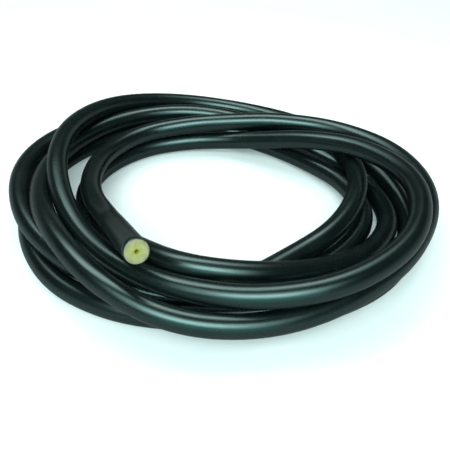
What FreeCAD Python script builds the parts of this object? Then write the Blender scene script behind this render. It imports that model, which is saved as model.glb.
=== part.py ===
import FreeCAD, Part

import math
import os

# A loose coil of two-layer rubber tubing, lying on a flat surface.
# Millimetres, +Z up. The origin is on the surface, under the middle of the coil.
# The tubing is one unbroken length: a thin black skin over a thick pale core with a small bore.
# Its route starts at the bare cut end, which stands up in front, clear of the turns under it. It runs
# straight down to the front left, and from there clockwise as seen from above: left, back, right, front,
# and round again.

# Sizes of the tubing

SIZES = {
    "hose_diameter": 16.0,
    "skin_thickness": 0.8,
    "bore_diameter": 2.5,
    "cut_end_azimuth": 15.0,
    "cut_end_reach": 137.0,
    "cut_end_lift": 70.0,
    "far_end_run": 16.0,
    "rest_flat_depth": 0.5,
    "start_azimuth": 54.0,
    "laid_hose_diameter": 16.0,
}

# A loose coil has no two turns alike, so each turn has its own sizes, one for each eighth of it.
# A reach is from the coil's axis to the middle of the tubing.
# A lift is from the surface to the underside of the tubing.
# An azimuth is the angle about the axis, from the front towards the left.
# The tubing runs through the first place of each turn and every second one after it. The places between
# those steer it: it heads along the line from the one before to the one after, and passes near them.
# All of them hold for tubing of laid_hose_diameter: thicker tubing lies in a larger coil.

EIGHTHS = ("front_left", "left", "back_left", "back", "back_right", "right", "front_right", "front")

TURN_REACHES = (
    (92, 99, 111, 87, 152, 191, 158, 133),
    (129, 133, 153, 125, 136, 179, 123, 66),
    (87, 102, 113, 77, 117, 185, 161, 102),
    (103, 114, 166, 173, 168, 185, 146, 107),
    (139, 149, 148, 104, 118, 159, 117, 78),
    (127, 171, 169, 143, 143, 109, 78),
)

TURN_LIFTS = (
    (45, 25, 18, 25, 32, 37, 16, 11),
    (32, 18, 19, 19, 0, 18, 19, 24),
    (11, 3, 0, 0, 30, 44, 40, 27),
    (26, 45, 31, 0, 9, 1, 1, 9),
    (0, 10, 2, 8, 2, 0, 0, 0),
    (13, 27, 11, 0, 16, 39, 1),
)


def fill_sheet(doc):
    """Put every driving size in the spreadsheet, under its own alias."""
    sheet = doc.addObject("Spreadsheet::Sheet", "Sizes")
    rows = list(SIZES.items())
    for turn, (reaches, lifts) in enumerate(zip(TURN_REACHES, TURN_LIFTS), 1):
        for eighth, reach, lift in zip(EIGHTHS, reaches, lifts):
            rows.append(("turn%d_%s_reach" % (turn, eighth), reach))
            rows.append(("turn%d_%s_lift" % (turn, eighth), lift))
    for row, (alias, value) in enumerate(rows, 1):
        sheet.set("A%d" % row, alias)
        sheet.set("B%d" % row, str(value))
        sheet.setAlias("B%d" % row, alias)
    doc.recompute()
    return sheet


# The route of the tubing's middle line

def laid_point(sheet, azimuth_degrees, reach, lift):
    """The middle of the tubing at one place of the route, with the coil's axis at the origin."""
    azimuth = math.radians(azimuth_degrees)
    lay_scale = sheet.hose_diameter / sheet.laid_hose_diameter
    rest_height = sheet.hose_diameter / 2.0 - sheet.rest_flat_depth
    return FreeCAD.Vector(-reach * lay_scale * math.sin(azimuth),
                          -reach * lay_scale * math.cos(azimuth),
                          lift * lay_scale + rest_height)


def route_stations(sheet):
    """The middle of the tubing at each eighth of each turn."""
    stations = []
    for turn, reaches in enumerate(TURN_REACHES, 1):
        for eighth in EIGHTHS[:len(reaches)]:
            azimuth = sheet.start_azimuth + 360.0 / len(EIGHTHS) * len(stations)
            reach = sheet.get("turn%d_%s_reach" % (turn, eighth))
            lift = sheet.get("turn%d_%s_lift" % (turn, eighth))
            stations.append(laid_point(sheet, azimuth, reach, lift))
    return stations


def unit(vector):
    return vector * (1.0 / vector.Length)


def mirrored(heading, chord):
    """The heading at one end of an arc, from the heading at its other end and its chord."""
    along = unit(chord)
    return along * (2.0 * along.dot(heading)) - heading


def route_headings(cut_end, stations):
    """Each station heads along the line between its two neighbours.

    The first one goes on straight from the cut end, and the far end lies level.
    """
    first = unit(stations[0] - cut_end)
    inner = [unit(after - before) for before, after in zip(stations, stations[2:])]
    last = mirrored(inner[-1], stations[-1] - stations[-2])
    last.z = 0.0
    return [first] + inner + [unit(last)]


def arc_edge(start, heading, end):
    """The arc from start to end that leaves start along heading, and its radius."""
    chord = end - start
    along = unit(chord)
    half_sweep = heading.getAngle(chord)
    outward = unit(heading - along * along.dot(heading))
    crown = outward * (chord.Length / 2.0 * math.tan(half_sweep / 2.0))
    edge = Part.Arc(start, start + chord * 0.5 + crown, end).toShape()
    return edge, edge.Curve.Radius


def quarter_turn(start, start_heading, end, end_heading):
    """Two arcs that meet smoothly and keep the place and heading at both ends."""
    chord = end - start
    spread = chord.dot(start_heading + end_heading)
    bend = 2.0 * (1.0 - start_heading.dot(end_heading))
    lead = (math.sqrt(spread * spread + bend * chord.dot(chord)) - spread) / bend
    near = start + start_heading * lead
    far = end - end_heading * lead
    joint = (near + far) * 0.5
    return [arc_edge(start, start_heading, joint), arc_edge(joint, unit(far - near), end)]


def route_wire(cut_end, stations, end_run):
    """A straight run at each end, and two arcs to each quarter turn between them."""
    headings = route_headings(cut_end, stations)
    edges = [Part.LineSegment(cut_end, stations[0]).toShape()]
    radii = []
    for index in range(0, len(stations) - 2, 2):
        for edge, radius in quarter_turn(stations[index], headings[index],
                                         stations[index + 2], headings[index + 2]):
            edges.append(edge)
            radii.append(radius)
    edges.append(Part.LineSegment(stations[-1], stations[-1] + headings[-1] * end_run).toShape())
    print("tightest bend of the middle line: %.1f mm radius" % min(radii))
    return Part.Wire(edges), headings[0]


def build_route(doc, sheet):
    """The middle line as an object of the document, moved so that the coil's middle is at the origin."""
    cut_end = laid_point(sheet, sheet.cut_end_azimuth, sheet.cut_end_reach, sheet.cut_end_lift)
    wire, first_heading = route_wire(cut_end, route_stations(sheet), sheet.far_end_run)
    points = wire.discretize(Distance=MEASURING_STEP)
    middle_x = (min(point.x for point in points) + max(point.x for point in points)) / 2.0
    middle_y = (min(point.y for point in points) + max(point.y for point in points)) / 2.0
    wire.translate(FreeCAD.Vector(-middle_x, -middle_y, 0.0))
    route = doc.addObject("Part::Feature", "route")
    route.Shape = wire
    return route, first_heading


# How near the tubing comes to itself, measured on points of its middle line

MEASURING_STEP = 2.0
OWN_NEIGHBOURS = 4.0


def point_to_run(point, start, end):
    """The distance from a point to the short run between two neighbouring points."""
    run = end - start
    share = max(0.0, min(1.0, (point - start).dot(run) / run.dot(run)))
    return point.distanceToPoint(start + run * share)


def least_gap(wire, diameter):
    """The least clear space between two stretches of the tubing that aren't neighbours along it."""
    points = wire.discretize(Distance=MEASURING_STEP)
    skipped = int(OWN_NEIGHBOURS * diameter / MEASURING_STEP)
    reach = 2.0 * diameter
    least = reach
    for first, point in enumerate(points):
        for second in range(first + skipped, len(points) - 1):
            other = points[second]
            if abs(other.x - point.x) > reach or abs(other.y - point.y) > reach:
                continue
            least = min(least, point_to_run(point, other, points[second + 1]))
    return least - diameter


# The document's features

def build_ring(doc, name, place, radius_formula):
    ring = doc.addObject("Part::Circle", name)
    ring.setExpression("Radius", radius_formula)
    ring.Placement = place
    return ring


def build_sweep(doc, name, ring, route):
    sweep = doc.addObject("Part::Sweep", name)
    sweep.Sections = [ring]
    sweep.Spine = (route, [])
    sweep.Solid = True
    sweep.Frenet = False
    return sweep


def build_cut(doc, name, base, tool):
    cut = doc.addObject("Part::Cut", name)
    cut.Base = base
    cut.Tool = tool
    return cut


def build_block_below(doc, box):
    """The space under the surface, as wide as the coil and as deep as the tubing is thick."""
    block = doc.addObject("Part::Box", "space_below")
    block.Length = box.XLength * 1.1
    block.Width = box.YLength * 1.1
    block.Placement.Base = FreeCAD.Vector(box.Center.x - block.Length.Value / 2.0,
                                          box.Center.y - block.Width.Value / 2.0, 0.0)
    block.setExpression("Height", "Sizes.hose_diameter")
    block.setExpression("Placement.Base.z", "-Sizes.hose_diameter")
    return block


def build_tubing(doc, sheet):
    """The black skin and the pale core, swept along the same route and sharing one wall."""
    route, cut_heading = build_route(doc, sheet)
    cut_end = route.Shape.Edges[0].Vertexes[0].Point
    square_to_end = FreeCAD.Placement(cut_end, FreeCAD.Rotation(FreeCAD.Vector(0, 0, 1), cut_heading))
    skin_ring = build_ring(doc, "skin_ring", square_to_end, "Sizes.hose_diameter / 2")
    core_ring = build_ring(doc, "core_ring", square_to_end,
                           "Sizes.hose_diameter / 2 - Sizes.skin_thickness")
    bore_ring = build_ring(doc, "bore_ring", square_to_end, "Sizes.bore_diameter / 2")
    whole = build_sweep(doc, "whole_tubing", skin_ring, route)
    core_blank = build_sweep(doc, "core_blank", core_ring, route)
    bore = build_sweep(doc, "bore", bore_ring, route)
    doc.recompute()
    resting = build_cut(doc, "resting_tubing", whole, build_block_below(doc, whole.Shape.BoundBox))
    outer_skin = build_cut(doc, "outer_skin", resting, core_blank)
    rubber_core = build_cut(doc, "rubber_core", core_blank, bore)
    doc.recompute()
    return route, [outer_skin, rubber_core]


def check(doc, pieces):
    """Stop if any object failed, or if a piece isn't one sound solid."""
    for item in doc.Objects:
        if "Invalid" in item.State or "Error" in item.State:
            raise RuntimeError("%s failed: %s" % (item.Label, item.State))
    for piece in pieces:
        if piece.Shape.isNull() or not piece.Shape.isValid() or len(piece.Shape.Solids) != 1:
            raise RuntimeError("%s isn't one sound solid" % piece.Label)


def report(sheet, route, pieces):
    length = route.Shape.Length
    print("length of the tubing: %.0f mm" % length)
    cut_end, first_station = [vertex.Point for vertex in route.Shape.Edges[0].Vertexes]
    outward = unit(cut_end - first_station)
    print("cut end at %.3f %.3f %.3f mm, facing %.5f %.5f %.5f, straight for %.3f mm"
          % (tuple(cut_end) + tuple(outward) + (route.Shape.Edges[0].Length,)))
    print("least gap of the tubing to itself: %.2f mm" % least_gap(route.Shape, sheet.hose_diameter))
    outer = sheet.hose_diameter / 2.0
    inner = outer - sheet.skin_thickness
    bore = sheet.bore_diameter / 2.0
    for piece, big, small in zip(pieces, (outer, inner), (inner, bore)):
        swept = math.pi * (big * big - small * small) * length
        print("%s: %.1f cm3, section times length %.1f cm3"
              % (piece.Label, piece.Shape.Volume / 1000.0, swept / 1000.0))
    points, _ = pieces[0].Shape.tessellate(0.05)
    for axis, places in zip("xyz", zip(*points)):
        print("%s from %.2f to %.2f mm" % (axis, min(places), max(places)))


doc = FreeCAD.newDocument("RubberHoseCoil")
sizes = fill_sheet(doc)
route, pieces = build_tubing(doc, sizes)
check(doc, pieces)
report(sizes, route, pieces)

os.makedirs("parts", exist_ok=True)
for piece in pieces:
    piece.Shape.exportStep("parts/%s.step" % piece.Label)
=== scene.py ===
# %% [markdown]
# This is a loose coil of thick rubber tubing, with a thin black skin, a pale core, a small bore and one bare
# cut end on top of the pile.
# It could be a single curve with a round bevel, but then skin and core would be one tube with open ends.
# Here both are meshes laid along one line, so the cut end shows where the skin stops and the core begins.
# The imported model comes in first, as a fixed frame, and the two pieces are drawn round the same place.
# Every number is in metres unless its name or its cell says otherwise.

import math

import bpy
import numpy as np
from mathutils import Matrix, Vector


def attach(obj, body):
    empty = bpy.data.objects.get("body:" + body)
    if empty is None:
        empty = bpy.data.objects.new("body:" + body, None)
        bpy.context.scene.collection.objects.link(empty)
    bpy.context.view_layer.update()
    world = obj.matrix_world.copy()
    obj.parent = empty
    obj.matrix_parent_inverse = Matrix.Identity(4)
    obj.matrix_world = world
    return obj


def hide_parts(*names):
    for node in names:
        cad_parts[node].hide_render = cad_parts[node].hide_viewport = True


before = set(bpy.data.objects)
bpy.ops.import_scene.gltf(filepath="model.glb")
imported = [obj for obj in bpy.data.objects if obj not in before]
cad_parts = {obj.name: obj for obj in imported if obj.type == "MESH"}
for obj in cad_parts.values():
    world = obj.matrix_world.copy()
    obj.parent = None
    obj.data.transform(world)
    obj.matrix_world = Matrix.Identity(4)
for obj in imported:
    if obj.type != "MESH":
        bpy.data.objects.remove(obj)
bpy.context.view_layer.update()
MM = 0.001
print("frame nodes:", sorted(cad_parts))

# %% [markdown]
# The camera is the eye that looks at the pile: in front of it, nearly forty degrees up, and close.
# It could be turned by hand in the viewport, but numbers can be compared and changed one at a time.
# It comes before the tubing, because the route is judged by what it shows from here. It stands near, so the
# front turns look thicker than the back ones, as they do on the real pile.

# %% Camera
LOOK_AT = Vector((8.0, -26.6, 0.0)) * MM
CAMERA_RISE = math.radians(39.15)
CAMERA_DISTANCE = 439.9 * MM
LENS_MM = 43.6
SENSOR_MM = 36.0
NEAREST_SEEN = 10.0 * MM

scene = bpy.context.scene
camera_data = bpy.data.cameras.new("camera")
camera_data.lens = LENS_MM
camera_data.sensor_width = SENSOR_MM
camera_data.clip_start = NEAREST_SEEN
camera = bpy.data.objects.new("camera", camera_data)
scene.collection.objects.link(camera)
toward_camera = Vector((0.0, -math.cos(CAMERA_RISE), math.sin(CAMERA_RISE)))
camera.location = LOOK_AT + toward_camera * CAMERA_DISTANCE
camera.rotation_euler = (-toward_camera).to_track_quat("-Z", "Y").to_euler()
scene.camera = camera
print("camera at", tuple(round(value, 3) for value in camera.location))

# %% [markdown]
# The tubing is sixteen millimetres thick, and its skin is less than one. Under its own weight the rubber
# settles a little where it lies on the floor, so the lowest turns sink by half a millimetre.

# %% Sizes of the tubing
HOSE_DIAMETER = 16.0 * MM
SKIN_THICKNESS = 0.8 * MM
BORE_DIAMETER = 2.5 * MM
SETTLE = 0.5 * MM
outer = HOSE_DIAMETER / 2.0
inner = outer - SKIN_THICKNESS
bore = BORE_DIAMETER / 2.0
print("wall of the core:", round((inner - bore) / MM, 2), "mm")

# %% [markdown]
# The tubing is one line of nearly six turns, no two alike. It starts at the cut end, which stands up in
# front, runs straight down to the front left, and then goes round and round, clockwise from above.
# A pile like this could be dropped by a rope simulation, but then nobody chooses which turn crosses which.
# So each turn has two rows of eight numbers in whole millimetres, one for each eighth of it, from the front
# left on. A reach goes from the coil's axis to the middle of the tubing. A lift goes from the floor to its
# underside. An azimuth is the angle round the axis, in degrees, from the front towards the left.

# %% The turns
COIL_AXIS = Vector((-1.8, -12.6, 0.0)) * MM
START_AZIMUTH = 53.5
EIGHTHS = 8
EIGHTH_DEGREES = 360.0 / EIGHTHS

CUT_END_AZIMUTH = 18.2
CUT_END_REACH = 130
CUT_END_LIFT = 62

TURN_REACHES = (
    (91, 98, 111, 102, 140, 164, 146, 139),
    (128, 137, 146, 131, 120, 139, 114, 103),
    (86, 108, 111, 96, 103, 151, 148, 119),
    (110, 125, 158, 171, 147, 155, 137, 123),
    (138, 148, 144, 114, 104, 120, 99, 104),
    (127, 158, 161, 144, 132, 111, 95),
)

TURN_LIFTS = (
    (33, 24, 17, 23, 24, 27, 16, 20),
    (33, 24, 17, 11, 4, 4, 17, 31),
    (14, 2, 1, 7, 27, 40, 35, 27),
    (26, 39, 28, 1, 8, 1, 2, 3),
    (0, 5, 1, 2, 4, 4, 1, 2),
    (13, 22, 10, 0, 12, 21, 15),
)

reaches = np.array([reach for turn in TURN_REACHES for reach in turn], float)
lifts = np.array([lift for turn in TURN_LIFTS for lift in turn], float)
print("turns:", round((len(reaches) - 1) / EIGHTHS, 2))

# %% [markdown]
# Thick rubber has no corners: between two of those places it takes the smoothest bend that it can.
# Eight points to a turn would be too few for a spline, which cuts across the bends between its points.
# So one more place is worked out half way between each two, which makes sixteen to a turn. The curve used for
# it is the one that a thin batten takes between pins: it is exact at the eighths and has no kinks.

# %% A batten through the eighths
def batten(values, places):
    """The natural cubic through values at 0, 1, 2 and so on, read at places."""
    count = len(values)
    matrix = np.eye(count)
    bend = np.zeros(count)
    for row in range(1, count - 1):
        matrix[row, row - 1:row + 2] = 1.0, 4.0, 1.0
        bend[row] = 6.0 * (values[row - 1] - 2.0 * values[row] + values[row + 1])
    curvature = np.linalg.solve(matrix, bend)
    whole = np.minimum(places.astype(int), count - 2)
    after = places - whole
    before = 1.0 - after
    return (before * values[whole] + after * values[whole + 1]
            + (before ** 3 - before) * curvature[whole] / 6.0
            + (after ** 3 - after) * curvature[whole + 1] / 6.0)


POINTS_PER_EIGHTH = 2
places = np.arange((len(reaches) - 1) * POINTS_PER_EIGHTH + 1) / POINTS_PER_EIGHTH
reaches_between = batten(reaches, places)
lifts_between = batten(lifts, places)
print("places on the turns:", len(places))

# %% Places of the tubing's middle
def laid(azimuth_degrees, reach, lift):
    """The middle of the tubing at one place of the route."""
    azimuth = math.radians(azimuth_degrees)
    height = lift * MM + HOSE_DIAMETER / 2.0 - SETTLE
    return COIL_AXIS + Vector((-reach * MM * math.sin(azimuth), -reach * MM * math.cos(azimuth), height))


turn_points = [laid(START_AZIMUTH + EIGHTH_DEGREES * place, reach, lift)
               for place, reach, lift in zip(places, reaches_between, lifts_between)]
cut_end = laid(CUT_END_AZIMUTH, CUT_END_REACH, CUT_END_LIFT)
print("straight stretch behind the cut end:", round((turn_points[0] - cut_end).length / MM), "mm")

# %% [markdown]
# The middle line has to be one smooth curve, with the cut end's straight stretch before the first turn and a
# level stretch after the last. It could be a Bezier curve, but that has two handles to set at each place.
# A NURBS curve has none. It passes each control point on the inside of the bend, by an eighth of how much
# the points bend there. So each one is moved out by as much, and the line runs through the places themselves.

# %% Control points
RUN_STEPS = 3
FAR_RUN = 36.0 * MM
INWARD_SHARE = 1.0 / 8.0

run_points = [cut_end.lerp(turn_points[0], step / RUN_STEPS) for step in range(RUN_STEPS)]
far_heading = turn_points[-1] - turn_points[-2]
far_heading.z = 0.0
far_end = turn_points[-1] + far_heading.normalized() * FAR_RUN
passed = run_points + turn_points + [far_end]
route_points = [passed[0]]
for before, here, after in zip(passed, passed[1:], passed[2:]):
    route_points.append(here - (before - here * 2.0 + after) * INWARD_SHARE)
route_points.append(passed[-1])
print("control points:", len(route_points))

# %% The route as a spline
STEPS_TO_A_POINT = 10
route_data = bpy.data.curves.new("hose_route", "CURVE")
route_data.dimensions = "3D"
route_data.resolution_u = STEPS_TO_A_POINT
spline = route_data.splines.new("NURBS")
spline.points.add(len(route_points) - 1)
for point, place in zip(spline.points, route_points):
    point.co = (place.x, place.y, place.z, 1.0)
spline.order_u = 3
spline.use_endpoint_u = True
route = bpy.data.objects.new("hose_route", route_data)
scene.collection.objects.link(route)
print("spline points:", len(spline.points))

# %% [markdown]
# Blender breaks the spline into many short straight steps when it shows it. The tubes are built on those fine
# points, so the curve itself isn't needed afterwards. Points on the same place would leave rings without a
# heading, so they go.

# %% Fine points along the route
SAME_PLACE = 1e-6
line_mesh = bpy.data.meshes.new_from_object(route.evaluated_get(bpy.context.evaluated_depsgraph_get()))
line = np.array([vertex.co for vertex in line_mesh.vertices])
bpy.data.objects.remove(route)
steps = np.linalg.norm(np.diff(line, axis=0), axis=1)
line = line[np.concatenate([[True], steps > SAME_PLACE])]
along = np.concatenate([[0.0], np.cumsum(np.linalg.norm(np.diff(line, axis=0), axis=1))])
last = len(line) - 1
print("line points:", len(line), "length:", round(along[-1], 3))

# %% [markdown]
# A tube is a row of rings joined by faces. A bevel on the curve would make them by itself, but it gives no
# say over the ends, where the skin is rounded and the core is cut, nor over the map that the finishes follow.
# Each ring stands square to the line. Its first spoke is carried from ring to ring without twist, so that the
# faint lines along the rubber stay straight and don't wind round it.

# %% Spokes along the line
headings = np.gradient(line, axis=0)
headings /= np.linalg.norm(headings, axis=1)[:, None]
spokes = np.zeros_like(line)
spoke = np.array((0.0, 0.0, 1.0))
for index, heading in enumerate(headings):
    spoke = spoke - heading * spoke.dot(heading)
    spoke = spoke / np.linalg.norm(spoke)
    spokes[index] = spoke
sides = np.cross(headings, spokes)
print("spokes:", len(spokes), "the last one points", tuple(round(float(value), 2) for value in spokes[-1]))

# %% Rings and lofts
def ring(index, radius, segments, shift=0.0):
    """The corners of one ring round a point of the line, moved along it by shift."""
    turn = np.arange(segments) * 2.0 * math.pi / segments
    return (line[index] + headings[index] * shift
            + radius * (np.cos(turn)[:, None] * spokes[index] + np.sin(turn)[:, None] * sides[index]))


def lofted(name, rings, lengths):
    """A mesh from a row of rings, with the length along the tube and the turn round it as its map."""
    segments = len(rings[0])
    mesh = bpy.data.meshes.new(name)
    grid = np.arange(len(rings) * segments).reshape(len(rings), segments)
    after = np.roll(grid, -1, axis=1)
    faces = np.stack([grid[:-1], after[:-1], after[1:], grid[1:]], axis=-1).reshape(-1, 4)
    mesh.from_pydata(np.concatenate(rings).tolist(), [], faces.tolist())
    layer = mesh.uv_layers.new(name="along_and_round")
    turn = np.tile(np.arange(segments) / segments, len(rings) - 1)
    next_turn = turn + 1.0 / segments
    low = np.repeat(np.asarray(lengths)[:-1], segments)
    high = np.repeat(np.asarray(lengths)[1:], segments)
    corners = np.stack([low, turn, low, next_turn, high, next_turn, high, turn], axis=1)
    layer.data.foreach_set("uv", corners.reshape(-1))
    mesh.polygons.foreach_set("use_smooth", [True] * len(mesh.polygons))
    mesh.update()
    piece = bpy.data.objects.new(name, mesh)
    scene.collection.objects.link(piece)
    return piece


SEGMENTS = 48
print("corners in a ring:", SEGMENTS)

# %% [markdown]
# On the real tubing the skin is a black layer, less than a millimetre thick, from one cut to the other.
# A Solidify modifier could give it that thickness, but its edge would then be sharp and as thick as the rest.
# Where a blade goes through rubber, the skin thins and its edge rounds off. So each end gets rings of its
# own: two round the edge, one where the skin is thin and two inside the tubing. Where the lowest turns rest,
# the rings are pressed flat on the floor.

# %% The black skin
EDGE_ROUND = 0.25 * MM
SKIN_AT_CUT = 0.4 * MM
THINNED_RUN = 1.2 * MM
TUCKED_RUN = 12 * MM
EDGE_MAP_MM = (0.0, 1.0, 1.5, 2.0, 2.5)


def skin_edge(index, inward):
    """The skin's rings at one cut, from its outside round the edge to the inside of the tubing."""
    return [ring(index, outer, SEGMENTS, inward * EDGE_ROUND),
            ring(index, outer - EDGE_ROUND, SEGMENTS),
            ring(index, outer - SKIN_AT_CUT, SEGMENTS),
            ring(index, inner, SEGMENTS, inward * THINNED_RUN),
            ring(index, inner, SEGMENTS, inward * TUCKED_RUN)]


skin_rings = skin_edge(0, 1.0)[::-1]
skin_lengths = [-extra * MM for extra in EDGE_MAP_MM[::-1]]
for index in range(1, last):
    skin_rings.append(ring(index, outer, SEGMENTS))
    skin_lengths.append(along[index])
skin_rings += skin_edge(last, -1.0)
skin_lengths += [along[-1] + extra * MM for extra in EDGE_MAP_MM]
for corners in skin_rings:
    corners[:, 2] = np.maximum(corners[:, 2], 0.0)
skin = lofted("hose_skin", skin_rings, skin_lengths)
print("skin faces:", len(skin.data.polygons))

# %% [markdown]
# The core is the pale, thick wall inside the skin. It is seen only where the tubing is cut, round a small
# bore. A flat disc with a hole would do from far away. Near by, a blade leaves rubber a little uneven, so
# each cut face is a row of rings, from the rim to the bore, with small chance shifts in and out.

# %% The cut faces
FACE_RINGS = 14
FACE_INSET = 0.06 * MM
FACE_UNEVENNESS = 0.035 * MM
HAIR = 0.02 * MM
BORE_BEVEL = 0.12 * MM
BLADE_SEED = 7
chance = np.random.default_rng(BLADE_SEED)


def cut_face(index, inward):
    """Rings from the rim of the cut face to its bore, a little uneven, as a blade leaves rubber."""
    rings = []
    for radius in np.linspace(outer - SKIN_AT_CUT - HAIR, bore + BORE_BEVEL, FACE_RINGS):
        uneven = chance.normal(0.0, FACE_UNEVENNESS, SEGMENTS)
        corners = ring(index, radius, SEGMENTS, inward * FACE_INSET)
        rings.append(corners + headings[index] * uneven[:, None])
    return rings


front_face = cut_face(0, 1.0)
far_face = cut_face(last, -1.0)
print("rings on a cut face:", len(front_face))

# %% [markdown]
# The core closes on itself: over the front face, along under the skin, over the far face and back through the
# bore. Two tubes and two discs could be joined instead, but one loft leaves no seam to match.
# Real lengths along the tubing start at zero. So the map has values below zero for the cut faces and the
# bore, and the pale rubber can tell from the map alone how near the bore it is.

# %% The core's faces and outside
FACE_MAP_STEP = 0.001
core_outside = inner - HAIR

face_lengths = [-FACE_MAP_STEP * step for step in range(1, FACE_RINGS + 1)]
core_rings = front_face[::-1] + [ring(0, core_outside, SEGMENTS, THINNED_RUN)]
core_lengths = face_lengths[::-1] + [FACE_MAP_STEP]
for index in range(1, last, 2):
    core_rings.append(ring(index, core_outside, SEGMENTS))
    core_lengths.append(along[index])
core_rings += [ring(last, core_outside, SEGMENTS, -THINNED_RUN)] + far_face
core_lengths += [along[-1]] + face_lengths
print("rings of the core so far:", len(core_rings))

# %% The core's bore
BORE_MAP = -0.02
BORE_MOUTH = 0.15 * MM
bore_rings = [ring(last, bore, SEGMENTS, -BORE_MOUTH)]
bore_rings += [ring(index, bore, SEGMENTS) for index in range(last - 1, 0, -2)]
bore_rings += [ring(0, bore, SEGMENTS, BORE_MOUTH)]
core_rings += bore_rings + [core_rings[0]]
core_lengths += [BORE_MAP] * (len(bore_rings) + 1)
core = lofted("hose_core", core_rings, core_lengths)
print("core faces:", len(core.data.polygons))

# %% [markdown]
# Both rubbers are mixed from nodes. They could be joined by hand in the shader editor, but nodes made in a
# script can be read, compared and changed in one place. Four small helpers keep that code short: a new
# material, a node with its values set by name, a colour ramp and a change of range.

# %% Helpers for nodes
def new_material(name):
    material = bpy.data.materials.new(name)
    material.use_nodes = True
    return material, material.node_tree, material.node_tree.nodes["Principled BSDF"]


def add_node(tree, kind, **values):
    """A node with its plain values and the default values of its inputs set by name."""
    node = tree.nodes.new(kind)
    for name, value in values.items():
        if hasattr(node, name):
            setattr(node, name, value)
        else:
            node.inputs[name.replace("_", " ")].default_value = value
    return node


def ramp(tree, source, stops):
    """A colour ramp over source with its stops as (position, colour)."""
    node = tree.nodes.new("ShaderNodeValToRGB")
    while len(node.color_ramp.elements) < len(stops):
        node.color_ramp.elements.new(0.5)
    for element, (position, colour) in zip(node.color_ramp.elements, stops):
        element.position = position
        element.color = (*colour, 1.0)
    tree.links.new(source, node.inputs["Fac"])
    return node.outputs["Color"]


def remap(tree, source, low, high, from_low=0.0, from_high=1.0):
    """The value of source, moved from one range to another."""
    node = tree.nodes.new("ShaderNodeMapRange")
    node.inputs["From Min"].default_value = from_low
    node.inputs["From Max"].default_value = from_high
    node.inputs["To Min"].default_value = low
    node.inputs["To Max"].default_value = high
    tree.links.new(source, node.inputs["Value"])
    return node.outputs["Result"]


# The places of a Mix node's colour sockets
MIX_SHARE, MIX_BELOW, MIX_ABOVE, MIX_COLOUR = 0, 6, 7, 2
print("helpers ready")

# %% [markdown]
# The skin is near black and half glossy: smooth from the die that it was pressed through, with faint lines
# along it, slight clouds in its gloss, a fine grain and a little dust. A picture could be wrapped round it,
# but it would repeat many times along five metres. Noise has no end, so all four come from noise nodes:
# three in the object's own space, and one drawn out along the map for the lines.

# %% Noises for the black rubber
skin_material, tree, shader = new_material("black_rubber")
link = tree.links.new
map_node = add_node(tree, "ShaderNodeUVMap", uv_map="along_and_round")
place = add_node(tree, "ShaderNodeTexCoord")

stretch = add_node(tree, "ShaderNodeMapping", Scale=(3.0, 60.0, 1.0))
link(map_node.outputs["UV"], stretch.inputs["Vector"])
lines = add_node(tree, "ShaderNodeTexNoise", Scale=1.0, Detail=3.0)
link(stretch.outputs["Vector"], lines.inputs["Vector"])

cloud = add_node(tree, "ShaderNodeTexNoise", Scale=38.0, Detail=4.0, Roughness=0.6)
grain = add_node(tree, "ShaderNodeTexNoise", Scale=2600.0, Detail=3.0)
dust = add_node(tree, "ShaderNodeTexNoise", Scale=1500.0, Detail=2.0)
for node in (cloud, grain, dust):
    link(place.outputs["Object"], node.inputs["Vector"])
print("nodes so far:", len(tree.nodes))

# %% Colour and gloss of the black rubber
DEEP_BLACK = (0.0012, 0.0034, 0.0028)
WORN_BLACK = (0.0030, 0.0062, 0.0052)
DUST_GREY = (0.09, 0.10, 0.09, 1.0)
DUST_SHARE = 0.3
DUST_FROM = 0.70
DUST_TO = 0.80

tone = ramp(tree, cloud.outputs["Fac"], ((0.3, DEEP_BLACK), (0.7, WORN_BLACK)))
specks = remap(tree, dust.outputs["Fac"], 0.0, DUST_SHARE, DUST_FROM, DUST_TO)
mixed = add_node(tree, "ShaderNodeMix", data_type="RGBA")
link(specks, mixed.inputs[MIX_SHARE])
link(tone, mixed.inputs[MIX_BELOW])
mixed.inputs[MIX_ABOVE].default_value = DUST_GREY
link(mixed.outputs[MIX_COLOUR], shader.inputs["Base Color"])
print("black rubber, darkest tone:", DEEP_BLACK)

# %% Gloss of the black rubber
SMOOTHEST = 0.22
DULLEST = 0.32
# The highlights on the skin look a little blue-green
HIGHLIGHT_TINT = (0.70, 1.0, 0.97, 1.0)
link(remap(tree, cloud.outputs["Fac"], SMOOTHEST, DULLEST), shader.inputs["Roughness"])
shader.inputs["Specular IOR Level"].default_value = 1.0
shader.inputs["Specular Tint"].default_value = HIGHLIGHT_TINT
print("black rubber, roughness:", SMOOTHEST, "to", DULLEST)

# %% Lines and grain of the black rubber
line_bump = add_node(tree, "ShaderNodeBump", Strength=0.10, Distance=0.0004)
grain_bump = add_node(tree, "ShaderNodeBump", Strength=0.12, Distance=0.0001)
link(lines.outputs["Fac"], line_bump.inputs["Height"])
link(grain.outputs["Fac"], grain_bump.inputs["Height"])
link(line_bump.outputs["Normal"], grain_bump.inputs["Normal"])
link(grain_bump.outputs["Normal"], shader.inputs["Normal"])
skin.data.materials.append(skin_material)
print("black rubber nodes:", len(tree.nodes))

# %% [markdown]
# The cut face is matt, yellow-green round the bore and greyer at the rim, with fine blotches. One flat colour
# would look like card. So a ramp runs over the map from the bore to the rim, noise darkens it here and there,
# and a second noise roughens it. Light goes a short way into pale rubber, which softens its shadows, so the
# shader gets some subsurface scattering.

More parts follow.
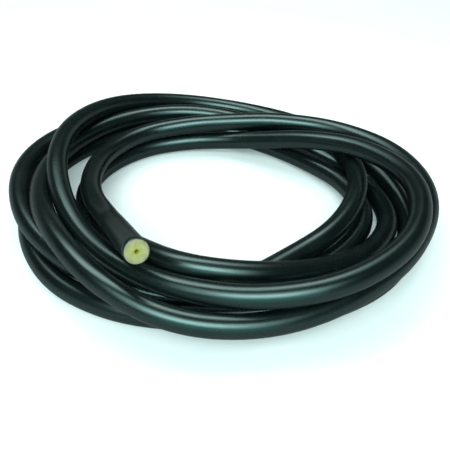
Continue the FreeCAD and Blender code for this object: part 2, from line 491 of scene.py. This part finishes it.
# %% Noises for the pale rubber
core_material, tree, shader = new_material("pale_rubber")
link = tree.links.new
place = add_node(tree, "ShaderNodeTexCoord")
mottle = add_node(tree, "ShaderNodeTexNoise", Scale=420.0, Detail=4.0)
tooth = add_node(tree, "ShaderNodeTexNoise", Scale=1800.0, Detail=3.0)
for node in (mottle, tooth):
    link(place.outputs["Object"], node.inputs["Vector"])
map_node = add_node(tree, "ShaderNodeUVMap", uv_map="along_and_round")
apart = add_node(tree, "ShaderNodeSeparateXYZ")
link(map_node.outputs["UV"], apart.inputs["Vector"])
print("nodes so far:", len(tree.nodes))

# %% Colour of the pale rubber
AT_BORE = (0.345, 0.34, 0.046)
NEAR_BORE = (0.377, 0.378, 0.112)
MIDDLE = (0.385, 0.36, 0.158)
AT_RIM = (0.305, 0.285, 0.175)
BLOTCH = (0.78, 0.80, 0.74)
CLEAN = (1.0, 1.0, 1.0)
rim_map = -FACE_MAP_STEP
bore_edge_map = -(FACE_RINGS - 0.5) * FACE_MAP_STEP
from_bore = remap(tree, apart.outputs["X"], 0.0, 1.0, bore_edge_map, rim_map)
depth = ramp(tree, from_bore, ((0.0, AT_BORE), (0.12, NEAR_BORE), (0.6, MIDDLE), (0.95, AT_RIM)))
blotch = ramp(tree, mottle.outputs["Fac"], ((0.35, BLOTCH), (0.65, CLEAN)))
mixed = add_node(tree, "ShaderNodeMix", data_type="RGBA", blend_type="MULTIPLY")
mixed.inputs[MIX_SHARE].default_value = 1.0
link(depth, mixed.inputs[MIX_BELOW])
link(blotch, mixed.inputs[MIX_ABOVE])
link(mixed.outputs[MIX_COLOUR], shader.inputs["Base Color"])
print("pale rubber, middle tone:", MIDDLE)

# %% Surface of the pale rubber
shader.inputs["Roughness"].default_value = 0.6
shader.inputs["Subsurface Weight"].default_value = 0.25
shader.inputs["Subsurface Radius"].default_value = (0.002, 0.002, 0.0008)
shader.inputs["Subsurface Scale"].default_value = 1.0
bump = add_node(tree, "ShaderNodeBump", Strength=0.5, Distance=0.0002)
link(tooth.outputs["Fac"], bump.inputs["Height"])
link(bump.outputs["Normal"], shader.inputs["Normal"])
core.data.materials.append(core_material)
print("pale rubber nodes:", len(tree.nodes))

# %% [markdown]
# The pile lies on plain white paper. One white for everything could be enough, but black glossy rubber
# mirrors such a floor too brightly, and the shadows on it come out too dark. So the floor's material asks
# what kind of ray looks at it: the rubber mirrors it as a duller one, and the camera alone sees a little glow
# in it, which keeps the shadows pale without lighting the tubing. Out of the lamps' reach that glow grows, so
# the paper stays white as far as the horizon.

# %% Sheet of paper
FLOOR_HALF = 6.0
floor_mesh = bpy.data.meshes.new("floor")
floor_mesh.from_pydata([(-FLOOR_HALF, -FLOOR_HALF, 0.0), (FLOOR_HALF, -FLOOR_HALF, 0.0),
                        (FLOOR_HALF, FLOOR_HALF, 0.0), (-FLOOR_HALF, FLOOR_HALF, 0.0)], [], [(0, 1, 2, 3)])
floor = bpy.data.objects.new("floor", floor_mesh)
scene.collection.objects.link(floor)
print("floor:", 2.0 * FLOOR_HALF, "m wide")

# %% White of the paper
PAPER_WHITE = 0.75
PAPER_IN_MIRROR = 0.24
floor_material, tree, shader = new_material("white_floor")
shader.inputs["Roughness"].default_value = 0.9
rays = add_node(tree, "ShaderNodeLightPath")
white = remap(tree, rays.outputs["Is Glossy Ray"], PAPER_WHITE, PAPER_IN_MIRROR)
tree.links.new(white, shader.inputs["Base Color"])
floor_mesh.materials.append(floor_material)
print("paper:", PAPER_WHITE, "and as the rubber mirrors it:", PAPER_IN_MIRROR)

# %% Glow of the paper
PAPER_GLOW = 0.22
FAR_PAPER_GLOW = 1.4
GLOW_GROWS_FROM = 0.65
GLOW_GROWS_TO = 1.3
# The glow is blue-green, so it paints a blue-green tint into the pale shadows on the paper.
GLOW_COLOUR = (0.70, 1.0, 0.98, 1.0)
spot = add_node(tree, "ShaderNodeTexCoord")
distance = add_node(tree, "ShaderNodeVectorMath", operation="LENGTH")
tree.links.new(spot.outputs["Object"], distance.inputs[0])
seen_glow = remap(tree, distance.outputs["Value"], PAPER_GLOW, FAR_PAPER_GLOW, GLOW_GROWS_FROM, GLOW_GROWS_TO)
glow = remap(tree, rays.outputs["Is Camera Ray"], 0.0, PAPER_GLOW)
tree.links.new(seen_glow, glow.node.inputs["To Max"])
shader.inputs["Emission Color"].default_value = GLOW_COLOUR
tree.links.new(glow, shader.inputs["Emission Strength"])
print("floor nodes:", len(tree.nodes))

# %% [markdown]
# The long pale stripes along each turn are mirrored lights, one broad one overhead and one in front.
# A sun or a point lamp would make thin, hard glints. An area light makes a stripe as wide as itself, and a
# smaller one inside it makes that stripe brighter in the middle, as cloth in front of a lamp does.
# A last weak one, low in front, gives the front turns and the floor there their blue-green tint.

# %% A lamp
def area_light(name, place, aim, width, height, power, colour):
    """A rectangular lamp at place, turned towards aim."""
    data = bpy.data.lights.new(name, "AREA")
    data.shape = "RECTANGLE"
    data.size = width
    data.size_y = height
    data.energy = power
    data.color = colour
    lamp = bpy.data.objects.new(name, data)
    lamp.location = place
    lamp.rotation_euler = (Vector(aim) - Vector(place)).to_track_quat("-Z", "Y").to_euler()
    scene.collection.objects.link(lamp)


LEFT_TURNS = (-0.1, 0.0, 0.0)
FRONT_TURNS = (0.0, -0.1, 0.0)
print("lamps aim at", LEFT_TURNS, "or", FRONT_TURNS)

# %% The five lamps
SKY_TINT = (0.92, 1.0, 0.97)
WINDOW_TINT = (0.80, 1.0, 0.98)
GLOW_TINT = (0.20, 1.0, 0.97)
area_light("overhead", (-0.15, 0.45, 1.2), LEFT_TURNS, width=1.5, height=0.8, power=4.7, colour=SKY_TINT)
area_light("overhead_middle", (-0.2, 0.4, 1.2), LEFT_TURNS, width=1.1, height=0.4, power=4.7, colour=SKY_TINT)
area_light("front_window", (-0.15, -1.0, 1.05), FRONT_TURNS, width=1.8, height=1.1, power=13.5,
           colour=WINDOW_TINT)
area_light("front_middle", (-0.1, -0.95, 1.0), FRONT_TURNS, width=0.9, height=0.5, power=8.5,
           colour=WINDOW_TINT)
area_light("front_glow", (0.0, -1.4, 0.35), FRONT_TURNS, width=1.5, height=0.6, power=2.0, colour=GLOW_TINT)
print("lights:", len(bpy.data.lights))

# %% [markdown]
# The room is the world round the floor. A picture of a real room could stand there, but it would bring
# reflections that the real pile doesn't show. A plain even light fills the shadows on the paper. The black
# rubber mirrors a dim room with a pale horizon instead, and the camera sees plain white behind the floor.

# %% Room
ROOM_LIGHT = 0.5
ROOM_TINT = (0.85, 1.0, 1.0, 1.0)
HORIZON_LIGHT = 0.36
CEILING_LIGHT = 0.02
HORIZON_TOP = 0.35
world = bpy.data.worlds.new("studio")
world.use_nodes = True
scene.world = world
tree = world.node_tree
background = tree.nodes["Background"]
background.inputs["Color"].default_value = ROOM_TINT
rays = add_node(tree, "ShaderNodeLightPath")
direction = add_node(tree, "ShaderNodeTexCoord")
parts = add_node(tree, "ShaderNodeSeparateXYZ")
tree.links.new(direction.outputs["Generated"], parts.inputs["Vector"])
mirrored = remap(tree, parts.outputs["Z"], HORIZON_LIGHT, CEILING_LIGHT, 0.0, HORIZON_TOP)
strength = remap(tree, rays.outputs["Is Glossy Ray"], ROOM_LIGHT, CEILING_LIGHT)
tree.links.new(mirrored, strength.node.inputs["To Max"])
tree.links.new(strength, background.inputs["Strength"])
print("room light:", ROOM_LIGHT, "and at the mirrored horizon:", HORIZON_LIGHT)

# %% White behind the floor
ROOM_SHADE = 1
WHITE_SHADE = 2
plain = add_node(tree, "ShaderNodeBackground", Color=(1.0, 1.0, 1.0, 1.0), Strength=1.0)
seen = tree.nodes.new("ShaderNodeMixShader")
tree.links.new(rays.outputs["Is Camera Ray"], seen.inputs["Fac"])
tree.links.new(background.outputs["Background"], seen.inputs[ROOM_SHADE])
tree.links.new(plain.outputs["Background"], seen.inputs[WHITE_SHADE])
tree.links.new(seen.outputs["Shader"], tree.nodes["World Output"].inputs["Surface"])
scene.view_settings.view_transform = "Standard"
print("room nodes:", len(tree.nodes))

# %% [markdown]
# Last, each piece is tied to the frame: the skin and the core stand for the two solids of the imported model,
# and both ride on its one body.

# %% Tie the pieces to the frame
for piece, node in ((skin, "outer_skin"), (core, "rubber_core")):
    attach(piece, "root")
    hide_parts(node)
